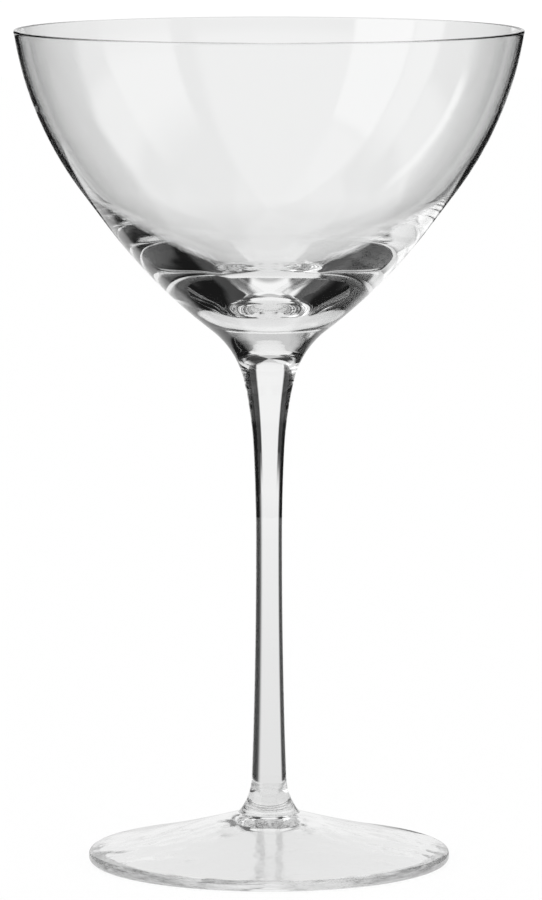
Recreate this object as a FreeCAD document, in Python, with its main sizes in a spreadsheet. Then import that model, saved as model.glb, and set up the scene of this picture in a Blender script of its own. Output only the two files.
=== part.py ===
import FreeCAD, Part
import math
import os
import Sketcher

# A martini glass of clear glass, standing on its foot, +Z up and the origin in
# the middle of the foot's underside. It is three gathers of glass: the bowl,
# the stem and the foot. Each is one turned body; the bowl is fused to the top
# of the stem and the stem to the boss in the middle of the foot.
# Sizes are in millimetres and degrees. Levels in a body are measured from the
# body's own lowest face.

SIZES = (
    # foot
    ("foot_radius", "41", "outside radius of the foot"),
    ("foot_edge", "2.4", "thickness of the foot at its edge"),
    ("foot_edge_round", "1.1", "round of the edge, above and below"),
    ("foot_top_radius", "420", "hollow sweep of the foot's top, seen in section"),
    ("boss_radius", "7", "flat face in the middle that carries the stem"),
    ("boss_level", "11", "height of that face above the table"),
    ("ring_radius", "37.5", "inside radius of the flat ring the foot rests on"),
    ("dome_round", "52.5", "round of the underside's middle"),
    # stem
    ("stem_length", "103", "from the foot's boss to the bowl"),
    ("waist_radius", "2.97", "thinnest place of the stem"),
    ("waist_level", "62.9", "height of that place"),
    ("shank_sweep", "1560", "slow widening below the waist"),
    ("root_level", "8", "where the stem starts to flare towards the foot"),
    ("neck_sweep", "400", "slow widening above the waist"),
    ("neck_blend", "92", "faster widening between the sweep and the neck"),
    ("neck_round", "20.2", "round of the neck, shared by stem and bowl"),
    ("neck_centre_radius", "25.35", "distance of its centre from the axis"),
    ("neck_centre_drop", "8.79", "depth of its centre below the bowl's joint"),
    # bowl, outside
    ("rim_radius", "57.5", "outside radius at the rim"),
    ("bowl_height", "75", "from the joint to the top of the rim"),
    ("rim_wall", "1", "thickness of the wall at the rim"),
    ("lip_round", "0.45", "round of the rim, inside and outside"),
    ("upper_round", "80.5", "outside of the wall above the shoulder"),
    ("shoulder_level", "38.55", "where the round wall turns into the straight flank"),
    ("flank_angle", "53", "rise of the flank, from level"),
    ("belly_round", "124.5", "outside of the bowl between flank and neck"),
    # bowl, inside
    ("thin_level", "57", "below this level the wall gets thicker"),
    ("floor_round", "28", "round of the floor of the cavity"),
    ("floor_level", "13.5", "lowest point of the cavity"),
)


def add_sheet(doc):
    sheet = doc.addObject("Spreadsheet::Sheet", "Sizes")
    for row, (name, value, note) in enumerate(SIZES, start=1):
        sheet.set("A%d" % row, name)
        sheet.set("B%d" % row, value)
        sheet.set("C%d" % row, note)
        sheet.setAlias("B%d" % row, name)
    doc.recompute()
    return sheet


def plane(body, role):
    for feature in body.Origin.OriginFeatures:
        if feature.Role == role:
            return feature
    raise RuntimeError("the body has no " + role)


def point(radius, level):
    return FreeCAD.Vector(radius, level, 0)


def line(start, end):
    return Part.LineSegment(point(*start), point(*end))


def arc(start, middle, end):
    """An arc through three points, which are given counterclockwise."""
    return Part.Arc(point(*start), point(*middle), point(*end))


class Outline:
    """Half section of one turned body, drawn on its XZ plane: x is the radius, y the level.

    The curves are drawn close to where they belong, in order round the
    section. The constraints, with sizes from the sheet, then place them.
    """

    def __init__(self, body, name, sheet, curves):
        self.sketch = body.newObject("Sketcher::SketchObject", name)
        self.sketch.AttachmentSupport = (plane(body, "XZ_Plane"), [""])
        self.sketch.MapMode = "FlatFace"
        self.sheet = sheet
        self.names = [key for key, _ in curves]
        for _, curve in curves:
            self.sketch.addGeometry(curve, False)
        self.drawn = [(curve.StartPoint, curve.EndPoint) for curve in self.sketch.Geometry]
        self.constraints = []
        self.sizes = []

    def index(self, name):
        return self.names.index(name)

    def end(self, name, other):
        """The end of one curve that is nearest to the other curve: 1 is start, 2 is end."""
        theirs = self.drawn[self.index(other)]
        gaps = [min(p.distanceToPoint(q) for q in theirs) for p in self.drawn[self.index(name)]]
        return 1 + gaps.index(min(gaps))

    def add(self, kind, *values):
        self.constraints.append(Sketcher.Constraint(kind, *values))

    def join(self, kind, first, second):
        ends = (self.end(first, second), self.end(second, first))
        self.add(kind, self.index(first), ends[0], self.index(second), ends[1])

    def size(self, kind, key, *where):
        """A measure bound to one size of the sheet."""
        value = float(self.sheet.get(key))
        value = math.radians(value) if kind == "Angle" else value
        self.sizes.append((len(self.constraints), key))
        self.add(kind, *where, value)

    def settle(self):
        self.sketch.addConstraint(self.constraints)
        for number, key in self.sizes:
            self.sketch.renameConstraint(number, key)
            self.sketch.setExpression("Constraints." + key, "Sizes." + key)


def close_on_axis(outline, face, axis):
    """The lowest face starts on the origin and the axis line stands on it."""
    outline.add("Horizontal", outline.index(face))
    outline.add("Vertical", outline.index(axis))
    outline.join("Coincident", face, axis)
    outline.add("Coincident", outline.index(axis), outline.end(axis, face), -1, 1)


def revolve(body, outline, name):
    turned = body.newObject("PartDesign::Revolution", name)
    turned.Profile = outline.sketch
    turned.ReferenceAxis = (outline.sketch, ["V_Axis"])
    turned.Angle = 360
    outline.sketch.Visibility = False
    return turned


def round_off(body, turned, name, size, radii):
    """Rounds the circular edges of the given radii; "size" names the sheet's radius of the round."""
    body.Document.recompute()
    picked = []
    for number, edge in enumerate(turned.Shape.Edges, start=1):
        radius = edge.Length / (2 * math.pi)
        on_circle = abs(edge.BoundBox.XMax - radius) < 0.01
        if on_circle and any(abs(radius - wanted) < 0.01 for wanted in radii):
            picked.append("Edge%d" % number)
    rounded = body.newObject("PartDesign::Fillet", name)
    rounded.Base = (turned, picked)
    rounded.setExpression("Radius", "Sizes." + size)
    turned.Visibility = False
    return rounded


def add_body(doc, name):
    body = doc.addObject("PartDesign::Body", name)
    body.Label = name
    return body


def add_foot(doc, sheet):
    """A shallow cone of even thickness with a rounded edge and a flat boss on top, standing on a ring."""
    body = add_body(doc, "foot")
    outline = Outline(body, "FootOutline", sheet, (
        ("axis", line((0, 7.8), (0, 11))),
        ("boss", line((0, 11), (7, 11))),
        ("top", arc((7, 11), (23.4, 6.35), (41, 2.4))),
        ("edge", line((41, 2.4), (41, 0))),
        ("ring", line((41, 0), (37.5, 0))),
        ("hollow", arc((14, 5.8), (26, 2.7), (37.5, 0))),
        ("dome", arc((14, 5.8), (7, 7.3), (0, 7.8))),
    ))
    boss, top, ring = outline.index("boss"), outline.index("top"), outline.index("ring")
    edge, hollow, axis = outline.index("edge"), outline.index("hollow"), outline.index("axis")
    dome = outline.index("dome")
    outline.join("Coincident", "axis", "boss")
    outline.join("Coincident", "boss", "top")
    outline.join("Coincident", "top", "edge")
    outline.join("Coincident", "edge", "ring")
    outline.join("Coincident", "ring", "hollow")
    outline.join("Tangent", "hollow", "dome")
    outline.join("Coincident", "dome", "axis")
    outline.add("Vertical", axis)
    outline.add("Vertical", edge)
    outline.add("Horizontal", boss)
    outline.add("Horizontal", ring)
    outline.add("PointOnObject", axis, 1, -2)
    outline.add("PointOnObject", ring, 1, -1)
    outline.add("PointOnObject", dome, 3, -2)
    # the cone is even: its top and its underside share a centre
    outline.add("Coincident", hollow, 3, top, 3)
    outline.size("DistanceY", "boss_level", -1, 1, boss, 2)
    outline.size("DistanceX", "boss_radius", -1, 1, boss, 2)
    outline.size("Radius", "foot_top_radius", top)
    outline.size("DistanceX", "foot_radius", -1, 1, edge, 1)
    outline.size("DistanceY", "foot_edge", -1, 1, edge, 1)
    outline.size("DistanceX", "ring_radius", -1, 1, ring, 2)
    outline.size("Radius", "dome_round", dome)
    outline.settle()
    turned = revolve(body, outline, "FootTurned")
    radius = float(sheet.get("foot_radius"))
    round_off(body, turned, "FootEdge", "foot_edge_round", (radius,))
    return body


def add_stem(doc, sheet):
    """A drawn rod, thinnest at the waist, that flares to the neck above and to the foot below."""
    body = add_body(doc, "stem")
    body.setExpression("Placement.Base.z", "Sizes.boss_level")
    outline = Outline(body, "StemOutline", sheet, (
        ("axis", line((0, 0), (0, 103))),
        ("head", line((0, 103), (7.15, 103))),
        ("neck", arc((7.15, 103), (6.15, 100.9), (5.65, 98.7))),
        ("blend", arc((5.65, 98.7), (4.25, 91), (3.47, 82.9))),
        ("sweep", arc((3.47, 82.9), (3.1, 73), (2.97, 62.9))),
        ("shank", arc((2.97, 62.9), (3.2, 35), (3.93, 8))),
        ("root", arc((3.93, 8), (4.8, 3.4), (7, 0))),
        ("base", line((7, 0), (0, 0))),
    ))
    head, neck, sweep = outline.index("head"), outline.index("neck"), outline.index("sweep")
    shank, root, base = outline.index("shank"), outline.index("root"), outline.index("base")
    waist = outline.end("sweep", "shank")
    close_on_axis(outline, "base", "axis")
    outline.join("Coincident", "axis", "head")
    outline.join("Coincident", "head", "neck")
    for upper, lower in (("neck", "blend"), ("blend", "sweep"), ("sweep", "shank"), ("shank", "root")):
        outline.join("Tangent", upper, lower)
    outline.join("Coincident", "root", "base")
    outline.add("Horizontal", head)
    # the waist is upright: the sweep's centre is level with it
    outline.add("Horizontal", sweep, 3, sweep, waist)
    outline.size("DistanceY", "stem_length", -1, 1, head, 1)
    outline.size("Radius", "neck_round", neck)
    outline.size("DistanceX", "neck_centre_radius", -1, 1, neck, 3)
    outline.size("DistanceY", "neck_centre_drop", neck, 3, head, 1)
    outline.size("Radius", "neck_blend", outline.index("blend"))
    outline.size("Radius", "neck_sweep", sweep)
    outline.size("DistanceX", "waist_radius", -1, 1, sweep, waist)
    outline.size("DistanceY", "waist_level", -1, 1, sweep, waist)
    outline.size("Radius", "shank_sweep", shank)
    outline.size("DistanceY", "root_level", -1, 1, root, outline.end("root", "shank"))
    outline.size("DistanceX", "boss_radius", -1, 1, base, outline.end("base", "root"))
    outline.settle()
    revolve(body, outline, "StemTurned")
    return body


def add_bowl(doc, sheet):
    """A wide open bowl: thin at the rim, with a thick clear base above the neck."""
    body = add_body(doc, "bowl")
    body.setExpression("Placement.Base.z", "Sizes.boss_level + Sizes.stem_length")
    outline = Outline(body, "BowlOutline", sheet, (
        ("axis", line((0, 0), (0, 13.5))),
        ("floor", arc((0, 13.5), (5.6, 14.1), (11, 15.8))),
        ("inner_flank", arc((11, 15.8), (34.5, 31.7), (51.6, 57))),
        ("inner_wall", arc((51.6, 57), (54.65, 66), (56.5, 75))),
        ("rim", line((56.5, 75), (57.5, 75))),
        ("outer_wall", arc((42.3, 38.55), (52.15, 55.5), (57.5, 75))),
        ("flank", line((36.6, 31), (42.3, 38.55))),
        ("belly", arc((13, 7.2), (25.4, 18.3), (36.6, 31))),
        ("neck", arc((13, 7.2), (9.6, 3.9), (7.15, 0))),
        ("joint", line((7.15, 0), (0, 0))),
    ))
    floor, rim, neck = outline.index("floor"), outline.index("rim"), outline.index("neck")
    inner, outer = outline.index("inner_wall"), outline.index("outer_wall")
    flank, axis = outline.index("flank"), outline.index("axis")
    close_on_axis(outline, "joint", "axis")
    outline.join("Coincident", "axis", "floor")
    outline.join("Tangent", "floor", "inner_flank")
    outline.join("Tangent", "inner_flank", "inner_wall")
    outline.join("Coincident", "inner_wall", "rim")
    outline.join("Coincident", "rim", "outer_wall")
    outline.join("Tangent", "outer_wall", "flank")
    outline.join("Tangent", "flank", "belly")
    outline.join("Tangent", "belly", "neck")
    outline.join("Coincident", "neck", "joint")
    outline.add("PointOnObject", floor, 3, -2)
    outline.add("Horizontal", rim)
    # the thin wall is even: its two faces share a centre
    outline.add("Coincident", inner, 3, outer, 3)
    outline.size("DistanceY", "floor_level", -1, 1, axis, 2)
    outline.size("Radius", "floor_round", floor)
    outline.size("DistanceY", "thin_level", -1, 1, inner, outline.end("inner_wall", "inner_flank"))
    outline.size("DistanceX", "rim_wall", rim, 1, rim, 2)
    outline.size("DistanceX", "rim_radius", -1, 1, rim, 2)
    outline.size("DistanceY", "bowl_height", -1, 1, rim, 2)
    outline.size("Radius", "upper_round", outer)
    outline.size("DistanceY", "shoulder_level", -1, 1, flank, 2)
    outline.size("Angle", "flank_angle", flank)
    outline.size("Radius", "belly_round", outline.index("belly"))
    outline.size("Radius", "neck_round", neck)
    outline.size("DistanceX", "neck_centre_radius", -1, 1, neck, 3)
    outline.size("DistanceY", "neck_centre_drop", neck, 3, -1, 1)
    outline.settle()
    turned = revolve(body, outline, "BowlTurned")
    radius = float(sheet.get("rim_radius"))
    round_off(body, turned, "Lip", "lip_round", (radius, radius - float(sheet.get("rim_wall"))))
    return body


def check(doc, bodies):
    for item in doc.Objects:
        if "Invalid" in item.State or "Error" in item.State:
            raise RuntimeError("%s did not build: %s" % (item.Name, item.State))
    for body in bodies:
        if body.Shape.isNull() or not body.Shape.isValid():
            raise RuntimeError("%s has no valid shape" % body.Label)
        if len(body.Shape.Solids) != 1:
            raise RuntimeError("%s is not one solid" % body.Label)


def main():
    doc = FreeCAD.newDocument("martini_glass")
    sheet = add_sheet(doc)
    bodies = (add_foot(doc, sheet), add_stem(doc, sheet), add_bowl(doc, sheet))
    doc.recompute()
    check(doc, bodies)
    os.makedirs("parts", exist_ok=True)
    for body in bodies:
        body.Shape.exportStep("parts/%s.step" % body.Label)


main()
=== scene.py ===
"""A martini glass in clear glass: bowl, stem and foot, on a pale floor in a plain white studio."""

import math

import bmesh
import bpy
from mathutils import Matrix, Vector


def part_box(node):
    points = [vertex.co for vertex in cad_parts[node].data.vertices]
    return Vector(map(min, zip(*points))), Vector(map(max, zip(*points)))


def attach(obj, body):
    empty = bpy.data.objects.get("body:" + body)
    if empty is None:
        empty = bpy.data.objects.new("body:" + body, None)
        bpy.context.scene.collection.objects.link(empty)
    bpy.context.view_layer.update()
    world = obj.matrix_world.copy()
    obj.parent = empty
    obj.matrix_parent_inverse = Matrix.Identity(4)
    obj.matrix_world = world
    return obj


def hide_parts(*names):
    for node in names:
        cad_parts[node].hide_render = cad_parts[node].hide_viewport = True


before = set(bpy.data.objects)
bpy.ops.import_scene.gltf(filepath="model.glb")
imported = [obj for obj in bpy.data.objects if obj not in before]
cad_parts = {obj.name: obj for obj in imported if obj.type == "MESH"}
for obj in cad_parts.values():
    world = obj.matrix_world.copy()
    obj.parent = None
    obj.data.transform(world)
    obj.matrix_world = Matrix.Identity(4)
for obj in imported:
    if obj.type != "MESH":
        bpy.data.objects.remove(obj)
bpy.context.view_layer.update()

MM = 0.001
# Places nearer than this are taken as one, and rounded to this many digits of a metre to compare them.
TINY = 1e-7
PLACE_DIGITS = 7

# How finely the glass is turned: steps round the axis, and the longest step along the outline.
ROUND_STEPS = 256
OUTLINE_STEP = 0.6 * MM
CREASE_ANGLE = math.radians(25)

# The glass.
GLASS_INDEX = 1.52
GLASS_COLOR = (0.986, 0.988, 0.987, 1.0)
GLASS_COLOR_UNEVEN = (0.981, 0.984, 0.983, 1.0)
# Blown glass is never quite even. For each piece: the width of its waves, how many times longer they
# are along the axis, how deep they are, and the roughness of its cleanest and of its most worn spots.
GLASS_WAVES = {
    "bowl": {"width": 16 * MM, "stretch": 1.6, "depth": 0.035 * MM, "roughness": (0.0, 0.012)},
    "stem": {"width": 4 * MM, "stretch": 9.0, "depth": 0.006 * MM, "roughness": (0.0, 0.012)},
    "foot": {"width": 8 * MM, "stretch": 1.0, "depth": 0.35 * MM, "roughness": (0.03, 0.12)},
}
WAVE_DETAIL = 1.0
# The worn spots: their size, how ragged they are, and the noise at which wear starts and is full.
WORN_SPOT = 9 * MM
WORN_DETAIL = 4.0
WORN_FROM, WORN_TO = 0.4, 0.7
# Faint rings left by the tool where the stem meets the foot. They start to die out at one distance
# from the joint's middle and are gone at the other.
TOOL_RING_PITCH = 1.7 * MM
TOOL_RING_DEPTH = 0.012 * MM
TOOL_RING_FADES = 3.3 * MM
TOOL_RING_ENDS = 11 * MM

# The camera: a long lens a little above the rim, tipped down.
CAMERA_DISTANCE = 1454.8 * MM
CAMERA_LEVEL = 264.8 * MM
CAMERA_ASIDE = 0.45 * MM
CAMERA_TIP = math.radians(6.7)
CAMERA_LENS = 259.09
CAMERA_SENSOR = 36.0
CAMERA_REACH = 100.0

# Bounces enough for light to get through the thick base, and to pass the fused joints on its way.
GLASS_BOUNCES = 128
JOINT_BOUNCES = 32

# The studio. The pale floor and the white world are what the camera sees. The glass sees a drum
# instead: a dome and a disc just above the floor, dark but for the lights below, so that clear glass
# on white gets its dark edges.
FLOOR_HALF = 3000 * MM
FLOOR_LEVEL = -0.06 * MM
FLOOR_COLOR = (0.97, 0.97, 0.97, 1.0)
WORLD_STRENGTH = 1.03
DRUM_RADIUS = 900 * MM
DRUM_LEVEL = -0.03 * MM
DRUM_DARK = 0.01
DOME_STEP = 5

# Each light on the dome, in degrees: where it starts and ends round the glass (0 is behind the glass,
# positive to the right, 180 is the camera), the same above the floor, and half the width of its soft
# edges, round and up. Then its brightness.
DOME_LIGHTS = {
    "backdrop": {"round": (-25, 20), "up": (-10, 52), "edges": (2, 5), "brightness": 0.92},
    "horizon": {"round": (-36, 26), "up": (-10, 1.5), "edges": (4, 1.5), "brightness": 0.92},
    "overhead": {"round": (-26, 24), "up": (50, 66), "edges": (3, 4), "brightness": 0.95},
    "zenith": {"round": (-50, 30), "up": (64, 100), "edges": (8, 5), "brightness": 0.55},
    "room": {"round": (142, 250), "up": (30, 100), "edges": (4, 4), "brightness": 0.6},
    "softbox": {"round": (-137, -104), "up": (-2, 56), "edges": (2, 3), "brightness": 1.35},
    "softbox_top": {"round": (-137, -104), "up": (55, 84), "edges": (2, 3), "brightness": 0.85},
    "softbox_side": {"round": (-104, -86), "up": (0, 54), "edges": (2, 9), "brightness": 0.9},
    "left_wall": {"round": (-86, -60), "up": (35, 50), "edges": (2, 3), "brightness": 0.65},
    "strip": {"round": (-64, -58), "up": (28, 52), "edges": (1.5, 3), "brightness": 1.3},
    "fill": {"round": (89, 130), "up": (28, 54), "edges": (2, 9), "brightness": 1.0},
    "right_wall": {"round": (62, 92), "up": (34, 50), "edges": (2, 3), "brightness": 0.65},
}
# The floor as the glass sees it: a little brighter far away, with a dark wedge on either side. For
# each wedge the degrees where it starts and ends, and half the width of its soft edges.
DARK_WEDGES = {"left": (-84, -36, 4), "right": (26, 74, 7)}
# The wedges start at this distance from the axis, with an edge this soft.
WEDGE_FROM = 56 * MM
WEDGE_EDGE = 8 * MM
FLOOR_NEAR_BRIGHTNESS = 0.74
FLOOR_FAR_BRIGHTNESS = 0.92
# Two dark flags behind the bowl, one on either side, that draw its outline dark. Their inner edges
# follow the bowl's outline at this gap, and a little lower, because the camera looks down past it.
FLAG_GAP = 15.5 * MM
FLAG_OUTER = 160 * MM
FLAG_BEHIND = 81 * MM
FLAG_DROP = 6 * MM
FLAG_LOWEST = 132 * MM
FLAG_TOP = 210 * MM


# Outlines -----------------------------------------------------------------------------------------

def on_seam(place):
    return abs(place.y) < TINY and place.x > -TINY


def seam_links(mesh):
    """The mesh's edges in the half-plane y = 0, x > 0: for each point its neighbours, with the surface's
    direction towards each of them. Points and directions are (radius, level)."""
    links = {}
    for face in mesh.polygons:
        corners = list(face.loop_indices)
        for here, there in zip(corners, corners[1:] + corners[:1]):
            for start, end in ((here, there), (there, here)):
                a = mesh.vertices[mesh.loops[start].vertex_index].co
                b = mesh.vertices[mesh.loops[end].vertex_index].co
                if not (on_seam(a) and on_seam(b)):
                    continue
                normal = mesh.corner_normals[start].vector
                along = Vector((-normal.z, normal.x)).normalized()
                chord = Vector((b.x - a.x, b.z - a.z))
                if along.dot(chord) < 0:
                    along.negate()
                point = (round(a.x, PLACE_DIGITS), round(a.z, PLACE_DIGITS))
                neighbour = (round(b.x, PLACE_DIGITS), round(b.z, PLACE_DIGITS))
                if point != neighbour:
                    links.setdefault(point, {})[neighbour] = along
    return links


def smooth_run(start, leaving, end, arriving):
    """Points from start to just before end, on the cubic that has these directions at its ends."""
    start, end = Vector(start), Vector(end)
    chord = (end - start).length
    count = max(1, math.ceil(chord / OUTLINE_STEP))
    for i in range(count):
        t = i / count
        yield (
            start * (2 * t**3 - 3 * t**2 + 1)
            + leaving * chord * (t**3 - 2 * t**2 + t)
            + end * (3 * t**2 - 2 * t**3)
            + arriving * chord * (t**3 - t**2)
        )


def outline_of(node):
    """The node's outline as (radius, level) points in metres, from its fused joint to the axis. The stem
    is fused at both ends, so its outline runs from the lower joint to the upper one."""
    links = seam_links(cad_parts[node].data)
    ends = [point for point, neighbours in links.items() if len(neighbours) == 1]
    point = max(ends, key=lambda end: end[0])
    last = min(ends, key=lambda end: end[0])
    if node == "stem":
        point, last = sorted(ends, key=lambda end: end[1])
    before = None
    points = []
    while point != last:
        following = next(n for n in links[point] if n != before)
        points += smooth_run(point, links[point][following], following, -links[following][point])
        before, point = point, following
    return points + [Vector(last)]


# Turning ------------------------------------------------------------------------------------------

def face_outwards(mesh):
    """Turns every face of a closed mesh to look outwards."""
    shell = bmesh.new()
    shell.from_mesh(mesh)
    bmesh.ops.recalc_face_normals(shell, faces=shell.faces)
    shell.to_mesh(mesh)
    shell.free()


def turn(name, outline, joints):
    """A solid of revolution. The outline starts and ends on the axis where the solid is closed, and
    joints holds the numbers of its runs on a fused joint, which get the second material."""
    rings = []
    places = []
    for radius, level in outline:
        if radius < TINY:
            rings.append([len(places)] * ROUND_STEPS)
            places.append((0, 0, level))
            continue
        rings.append(range(len(places), len(places) + ROUND_STEPS))
        for i in range(ROUND_STEPS):
            angle = math.tau * i / ROUND_STEPS
            places.append((radius * math.cos(angle), radius * math.sin(angle), level))
    faces = []
    kinds = []
    for number, (low, high) in enumerate(zip(rings, rings[1:])):
        for i in range(ROUND_STEPS):
            j = (i + 1) % ROUND_STEPS
            corners = dict.fromkeys((low[i], low[j], high[j], high[i]))
            faces.append(tuple(corners))
            kinds.append(int(number in joints))
    mesh = bpy.data.meshes.new(name)
    mesh.from_pydata(places, [], faces)
    mesh.polygons.foreach_set("material_index", kinds)
    face_outwards(mesh)
    mesh.polygons.foreach_set("use_smooth", [True] * len(faces))
    mesh.set_sharp_from_angle(angle=CREASE_ANGLE)
    mesh.update()
    piece = bpy.data.objects.new(name, mesh)
    bpy.context.scene.collection.objects.link(piece)
    return piece


# Node helpers -------------------------------------------------------------------------------------

def new_material(name):
    material = bpy.data.materials.new(name)
    material.use_nodes = True
    material.node_tree.nodes.clear()
    return material, material.node_tree


def math_node(tree, operation, *values):
    node = tree.nodes.new("ShaderNodeMath")
    node.operation = operation
    for socket, value in zip(node.inputs, values):
        if isinstance(value, bpy.types.NodeSocket):
            tree.links.new(value, socket)
        else:
            socket.default_value = value
    return node.outputs[0]


def length_of(tree, across, along):
    """The length of the hypotenuse over the two sides."""
    across_squared = math_node(tree, "POWER", across, 2.0)
    along_squared = math_node(tree, "POWER", along, 2.0)
    return math_node(tree, "SQRT", math_node(tree, "ADD", across_squared, along_squared))


def ramp(tree, value, low, high, bottom=0.0, top=1.0):
    """A smooth step of value from bottom at low to top at high."""
    node = tree.nodes.new("ShaderNodeMapRange")
    node.interpolation_type = "SMOOTHSTEP"
    tree.links.new(value, node.inputs["Value"])
    node.inputs["From Min"].default_value = low
    node.inputs["From Max"].default_value = high
    node.inputs["To Min"].default_value = bottom
    node.inputs["To Max"].default_value = top
    return node.outputs["Result"]


def window(tree, value, limits, edge):
    """1 between the limits and 0 outside, with soft edges."""
    rise = ramp(tree, value, limits[0] - edge, limits[0] + edge)
    fall = ramp(tree, value, limits[1] - edge, limits[1] + edge, 1.0, 0.0)
    return math_node(tree, "MULTIPLY", rise, fall)


# Materials ----------------------------------------------------------------------------------------

def noise(tree, place, size, detail):
    """Smooth random values round 0.5, the same on every run."""
    node = tree.nodes.new("ShaderNodeTexNoise")
    tree.links.new(place, node.inputs["Vector"])
    node.inputs["Scale"].default_value = 1 / size
    node.inputs["Detail"].default_value = detail
    return node.outputs["Fac"]


def surface_waves(tree, place, waves):
    """The height of the surface's unevenness: long shallow waves."""
    squeeze = tree.nodes.new("ShaderNodeMapping")
    tree.links.new(place, squeeze.inputs["Vector"])
    squeeze.inputs["Scale"].default_value = (1.0, 1.0, 1 / waves["stretch"])
    swell = noise(tree, squeeze.outputs[0], waves["width"], WAVE_DETAIL)
    return math_node(tree, "MULTIPLY", swell, waves["depth"])


def tool_rings(tree, place):
    """The height of the rings round the stem's lower joint, dying out away from it."""
    split = tree.nodes.new("ShaderNodeSeparateXYZ")
    tree.links.new(place, split.inputs[0])
    across, along, up = split.outputs
    above = math_node(tree, "SUBTRACT", up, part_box("stem")[0][2])
    away = length_of(tree, length_of(tree, across, along), above)
    phase = math_node(tree, "MULTIPLY", away, math.tau / TOOL_RING_PITCH)
    fade = ramp(tree, away, TOOL_RING_FADES, TOOL_RING_ENDS, TOOL_RING_DEPTH, 0.0)
    return math_node(tree, "MULTIPLY", math_node(tree, "SINE", phase), fade)


def clear_glass(name, waves):
    material, tree = new_material(name)
    place = tree.nodes.new("ShaderNodeTexCoord").outputs["Object"]
    height = math_node(tree, "ADD", surface_waves(tree, place, waves), tool_rings(tree, place))
    bump = tree.nodes.new("ShaderNodeBump")
    bump.inputs["Distance"].default_value = 1.0
    tree.links.new(height, bump.inputs["Height"])
    spots = noise(tree, place, WORN_SPOT, WORN_DETAIL)
    roughness = ramp(tree, spots, WORN_FROM, WORN_TO, *waves["roughness"])
    tint = tree.nodes.new("ShaderNodeMix")
    tint.data_type = "RGBA"
    tree.links.new(spots, tint.inputs["Factor"])
    tint.inputs["A"].default_value = GLASS_COLOR
    tint.inputs["B"].default_value = GLASS_COLOR_UNEVEN
    glass = tree.nodes.new("ShaderNodeBsdfPrincipled")
    glass.inputs["IOR"].default_value = GLASS_INDEX
    glass.inputs["Transmission Weight"].default_value = 1.0
    tree.links.new(tint.outputs["Result"], glass.inputs["Base Color"])
    tree.links.new(roughness, glass.inputs["Roughness"])
    tree.links.new(bump.outputs["Normal"], glass.inputs["Normal"])
    output = tree.nodes.new("ShaderNodeOutputMaterial")
    tree.links.new(glass.outputs["BSDF"], output.inputs["Surface"])
    return material


def fused_joint():
    """The unseen face between two pieces that are fused: light passes as if it were not there."""
    material, tree = new_material("fused_joint")
    clear = tree.nodes.new("ShaderNodeBsdfTransparent")
    output = tree.nodes.new("ShaderNodeOutputMaterial")
    tree.links.new(clear.outputs["BSDF"], output.inputs["Surface"])
    return material


def pale_floor():
    material, tree = new_material("pale_floor")
    matt = tree.nodes.new("ShaderNodeBsdfDiffuse")
    matt.inputs["Color"].default_value = FLOOR_COLOR
    output = tree.nodes.new("ShaderNodeOutputMaterial")
    tree.links.new(matt.outputs["BSDF"], output.inputs["Surface"])
    return material


def drum_material(name, brightness_of):
    """Light that only the glass sees: it is clear to a ray that has left the floor."""
    material, tree = new_material(name)
    light = tree.nodes.new("ShaderNodeEmission")
    tree.links.new(brightness_of(tree), light.inputs["Strength"])
    clear = tree.nodes.new("ShaderNodeBsdfTransparent")
    path = tree.nodes.new("ShaderNodeLightPath")
    from_floor = math_node(tree, "GREATER_THAN", path.outputs["Diffuse Depth"], 0.5)
    either = tree.nodes.new("ShaderNodeMixShader")
    tree.links.new(from_floor, either.inputs[0])
    tree.links.new(light.outputs["Emission"], either.inputs[1])
    tree.links.new(clear.outputs["BSDF"], either.inputs[2])
    output = tree.nodes.new("ShaderNodeOutputMaterial")
    tree.links.new(either.outputs["Shader"], output.inputs["Surface"])
    material.cycles.emission_sampling = "NONE"
    return material


def place_in_studio(tree):
    """The shading point in the studio's own frame, as three values."""
    coordinates = tree.nodes.new("ShaderNodeTexCoord")
    split = tree.nodes.new("ShaderNodeSeparateXYZ")
    tree.links.new(coordinates.outputs["Object"], split.inputs[0])
    return split.outputs


def dome_brightness(tree):
    across, along, up = place_in_studio(tree)
    round_angle = math_node(tree, "DEGREES", math_node(tree, "ARCTAN2", across, along))
    height_share = math_node(tree, "DIVIDE", up, DRUM_RADIUS)
    up_angle = math_node(tree, "DEGREES", math_node(tree, "ARCSINE", height_share))
    total = DRUM_DARK
    for light in DOME_LIGHTS.values():
        middle = sum(light["round"]) / 2
        turned = math_node(tree, "WRAP", round_angle, middle + 180.0, middle - 180.0)
        sideways = window(tree, turned, light["round"], light["edges"][0])
        upright = window(tree, up_angle, light["up"], light["edges"][1])
        shape = math_node(tree, "MULTIPLY", sideways, upright)
        shining = math_node(tree, "MULTIPLY", shape, light["brightness"])
        total = math_node(tree, "MAXIMUM", total, shining)
    return total


def floor_brightness(tree):
    across, along, _ = place_in_studio(tree)
    round_angle = math_node(tree, "DEGREES", math_node(tree, "ARCTAN2", across, along))
    reach = length_of(tree, across, along)
    away = ramp(tree, reach, WEDGE_FROM - WEDGE_EDGE, WEDGE_FROM + WEDGE_EDGE)
    slope = (FLOOR_FAR_BRIGHTNESS - FLOOR_NEAR_BRIGHTNESS) / DRUM_RADIUS
    total = math_node(tree, "MULTIPLY_ADD", reach, slope, FLOOR_NEAR_BRIGHTNESS)
    for start, end, edge in DARK_WEDGES.values():
        inside = math_node(tree, "MULTIPLY", window(tree, round_angle, (start, end), edge), away)
        total = math_node(tree, "MULTIPLY", total, math_node(tree, "SUBTRACT", 1.0, inside))
    return math_node(tree, "ADD", DRUM_DARK, total)


def flag_brightness(tree):
    steady = tree.nodes.new("ShaderNodeValue")
    steady.outputs[0].default_value = DRUM_DARK
    return steady.outputs[0]


# The glass ----------------------------------------------------------------------------------------

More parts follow.
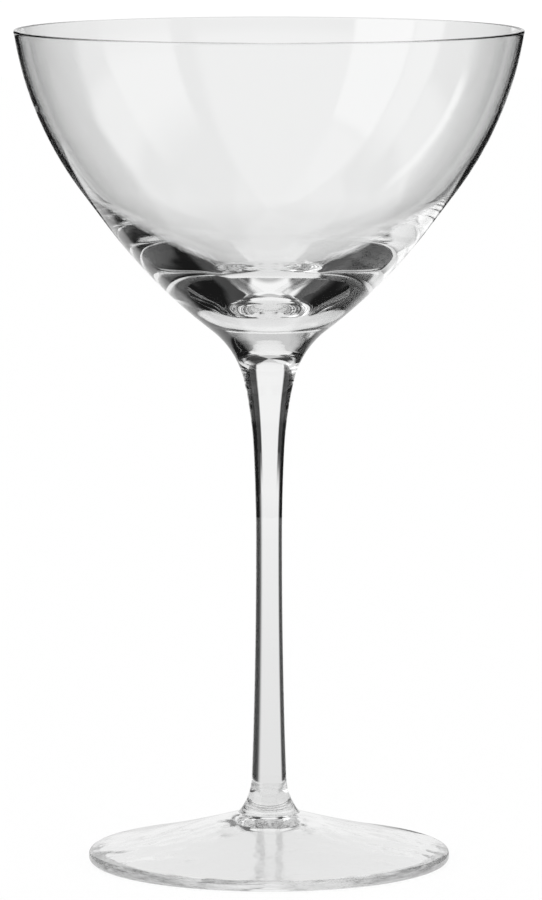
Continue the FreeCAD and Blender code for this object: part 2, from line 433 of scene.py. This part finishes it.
def make_glass():
    fused = fused_joint()
    for node, waves in GLASS_WAVES.items():
        side = outline_of(node)
        first, last = side[0], side[-1]
        outline = [Vector((0, first.y))] + side
        joints = [0]
        if last.x > TINY:
            outline.append(Vector((0, last.y)))
            joints.append(len(outline) - 2)
        piece = turn(f"{node}_glass", outline, joints)
        piece.data.materials.append(clear_glass(f"clear_glass_{node}", waves))
        piece.data.materials.append(fused)
        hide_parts(node)
        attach(piece, "root")


# The studio ---------------------------------------------------------------------------------------

def make_floor():
    half = FLOOR_HALF
    corners = [(-half, -half, 0), (half, -half, 0), (half, half, 0), (-half, half, 0)]
    mesh = bpy.data.meshes.new("floor")
    mesh.from_pydata(corners, [], [(0, 1, 2, 3)])
    mesh.materials.append(pale_floor())
    floor = bpy.data.objects.new("floor", mesh)
    floor.location.z = FLOOR_LEVEL
    bpy.context.scene.collection.objects.link(floor)


def make_flag(name, side):
    """An upright sheet whose inner edge follows the outside of the bowl."""
    outline = outline_of("bowl")
    rim = max(range(len(outline)), key=lambda number: outline[number].y)
    outside = [point for point in outline[:rim] if point.y > FLAG_LOWEST]
    edge = [(radius + FLAG_GAP, level - FLAG_DROP) for radius, level in outside]
    edge.append((edge[-1][0], FLAG_TOP))
    places = [(side * across, FLAG_BEHIND, level) for across, level in edge]
    places += [(side * FLAG_OUTER, FLAG_BEHIND, level) for _, level in edge]
    count = len(edge)
    faces = [(i, i + 1, count + i + 1, count + i) for i in range(count - 1)]
    mesh = bpy.data.meshes.new(name)
    mesh.from_pydata(places, [], faces)
    flag = bpy.data.objects.new(name, mesh)
    bpy.context.scene.collection.objects.link(flag)
    return flag


def make_drum(camera):
    """The dome, the disc and the flags that the glass sees, turned about the axis so that their back is
    always away from the camera."""
    studio = bpy.data.objects.new("studio", None)
    bpy.context.scene.collection.objects.link(studio)
    follow = studio.constraints.new("LOCKED_TRACK")
    follow.target = camera
    follow.track_axis = "TRACK_NEGATIVE_Y"
    follow.lock_axis = "LOCK_Z"
    angles = [math.radians(step) for step in range(0, 90, DOME_STEP)]
    dome = [Vector((DRUM_RADIUS * math.cos(angle), DRUM_RADIUS * math.sin(angle))) for angle in angles]
    dome.append(Vector((0, DRUM_RADIUS)))
    disc = [Vector((0, DRUM_LEVEL)), Vector((DRUM_RADIUS, DRUM_LEVEL))]
    shapes = {"dome": (dome, dome_brightness), "bright_floor": (disc, floor_brightness)}
    parts = []
    for name, (outline, brightness) in shapes.items():
        parts.append(turn(name, outline, ()))
        parts[-1].data.materials.append(drum_material(name, brightness))
    flag_dark = drum_material("flag", flag_brightness)
    for name, side in (("left_flag", -1), ("right_flag", 1)):
        parts.append(make_flag(name, side))
        parts[-1].data.materials.append(flag_dark)
    for part in parts:
        part.parent = studio
        part.visible_camera = False
        part.visible_diffuse = False
        part.visible_shadow = False


def make_world():
    world = bpy.data.worlds.new("white_studio")
    world.use_nodes = True
    background = world.node_tree.nodes["Background"]
    background.inputs["Color"].default_value = (1, 1, 1, 1)
    background.inputs["Strength"].default_value = WORLD_STRENGTH
    bpy.context.scene.world = world


def make_camera():
    data = bpy.data.cameras.new("camera")
    data.sensor_width = CAMERA_SENSOR
    data.lens = CAMERA_LENS
    data.clip_end = CAMERA_REACH
    camera = bpy.data.objects.new("camera", data)
    camera.location = (CAMERA_ASIDE, -CAMERA_DISTANCE, CAMERA_LEVEL)
    camera.rotation_euler = (math.radians(90) - CAMERA_TIP, 0, 0)
    bpy.context.scene.collection.objects.link(camera)
    bpy.context.scene.camera = camera
    return camera


def set_light_paths():
    """Enough bounces for the thick base, and a plain view of the brightness."""
    scene = bpy.context.scene
    scene.view_settings.view_transform = "Standard"
    scene.cycles.max_bounces = GLASS_BOUNCES
    scene.cycles.transmission_bounces = GLASS_BOUNCES
    scene.cycles.glossy_bounces = GLASS_BOUNCES
    scene.cycles.transparent_max_bounces = JOINT_BOUNCES
    scene.cycles.caustics_reflective = True
    scene.cycles.caustics_refractive = True
    scene.cycles.blur_glossy = 0.0
    scene.cycles.sample_clamp_indirect = 0.0
    scene.cycles.use_denoising = True


make_glass()
make_floor()
make_drum(make_camera())
make_world()
set_light_paths()
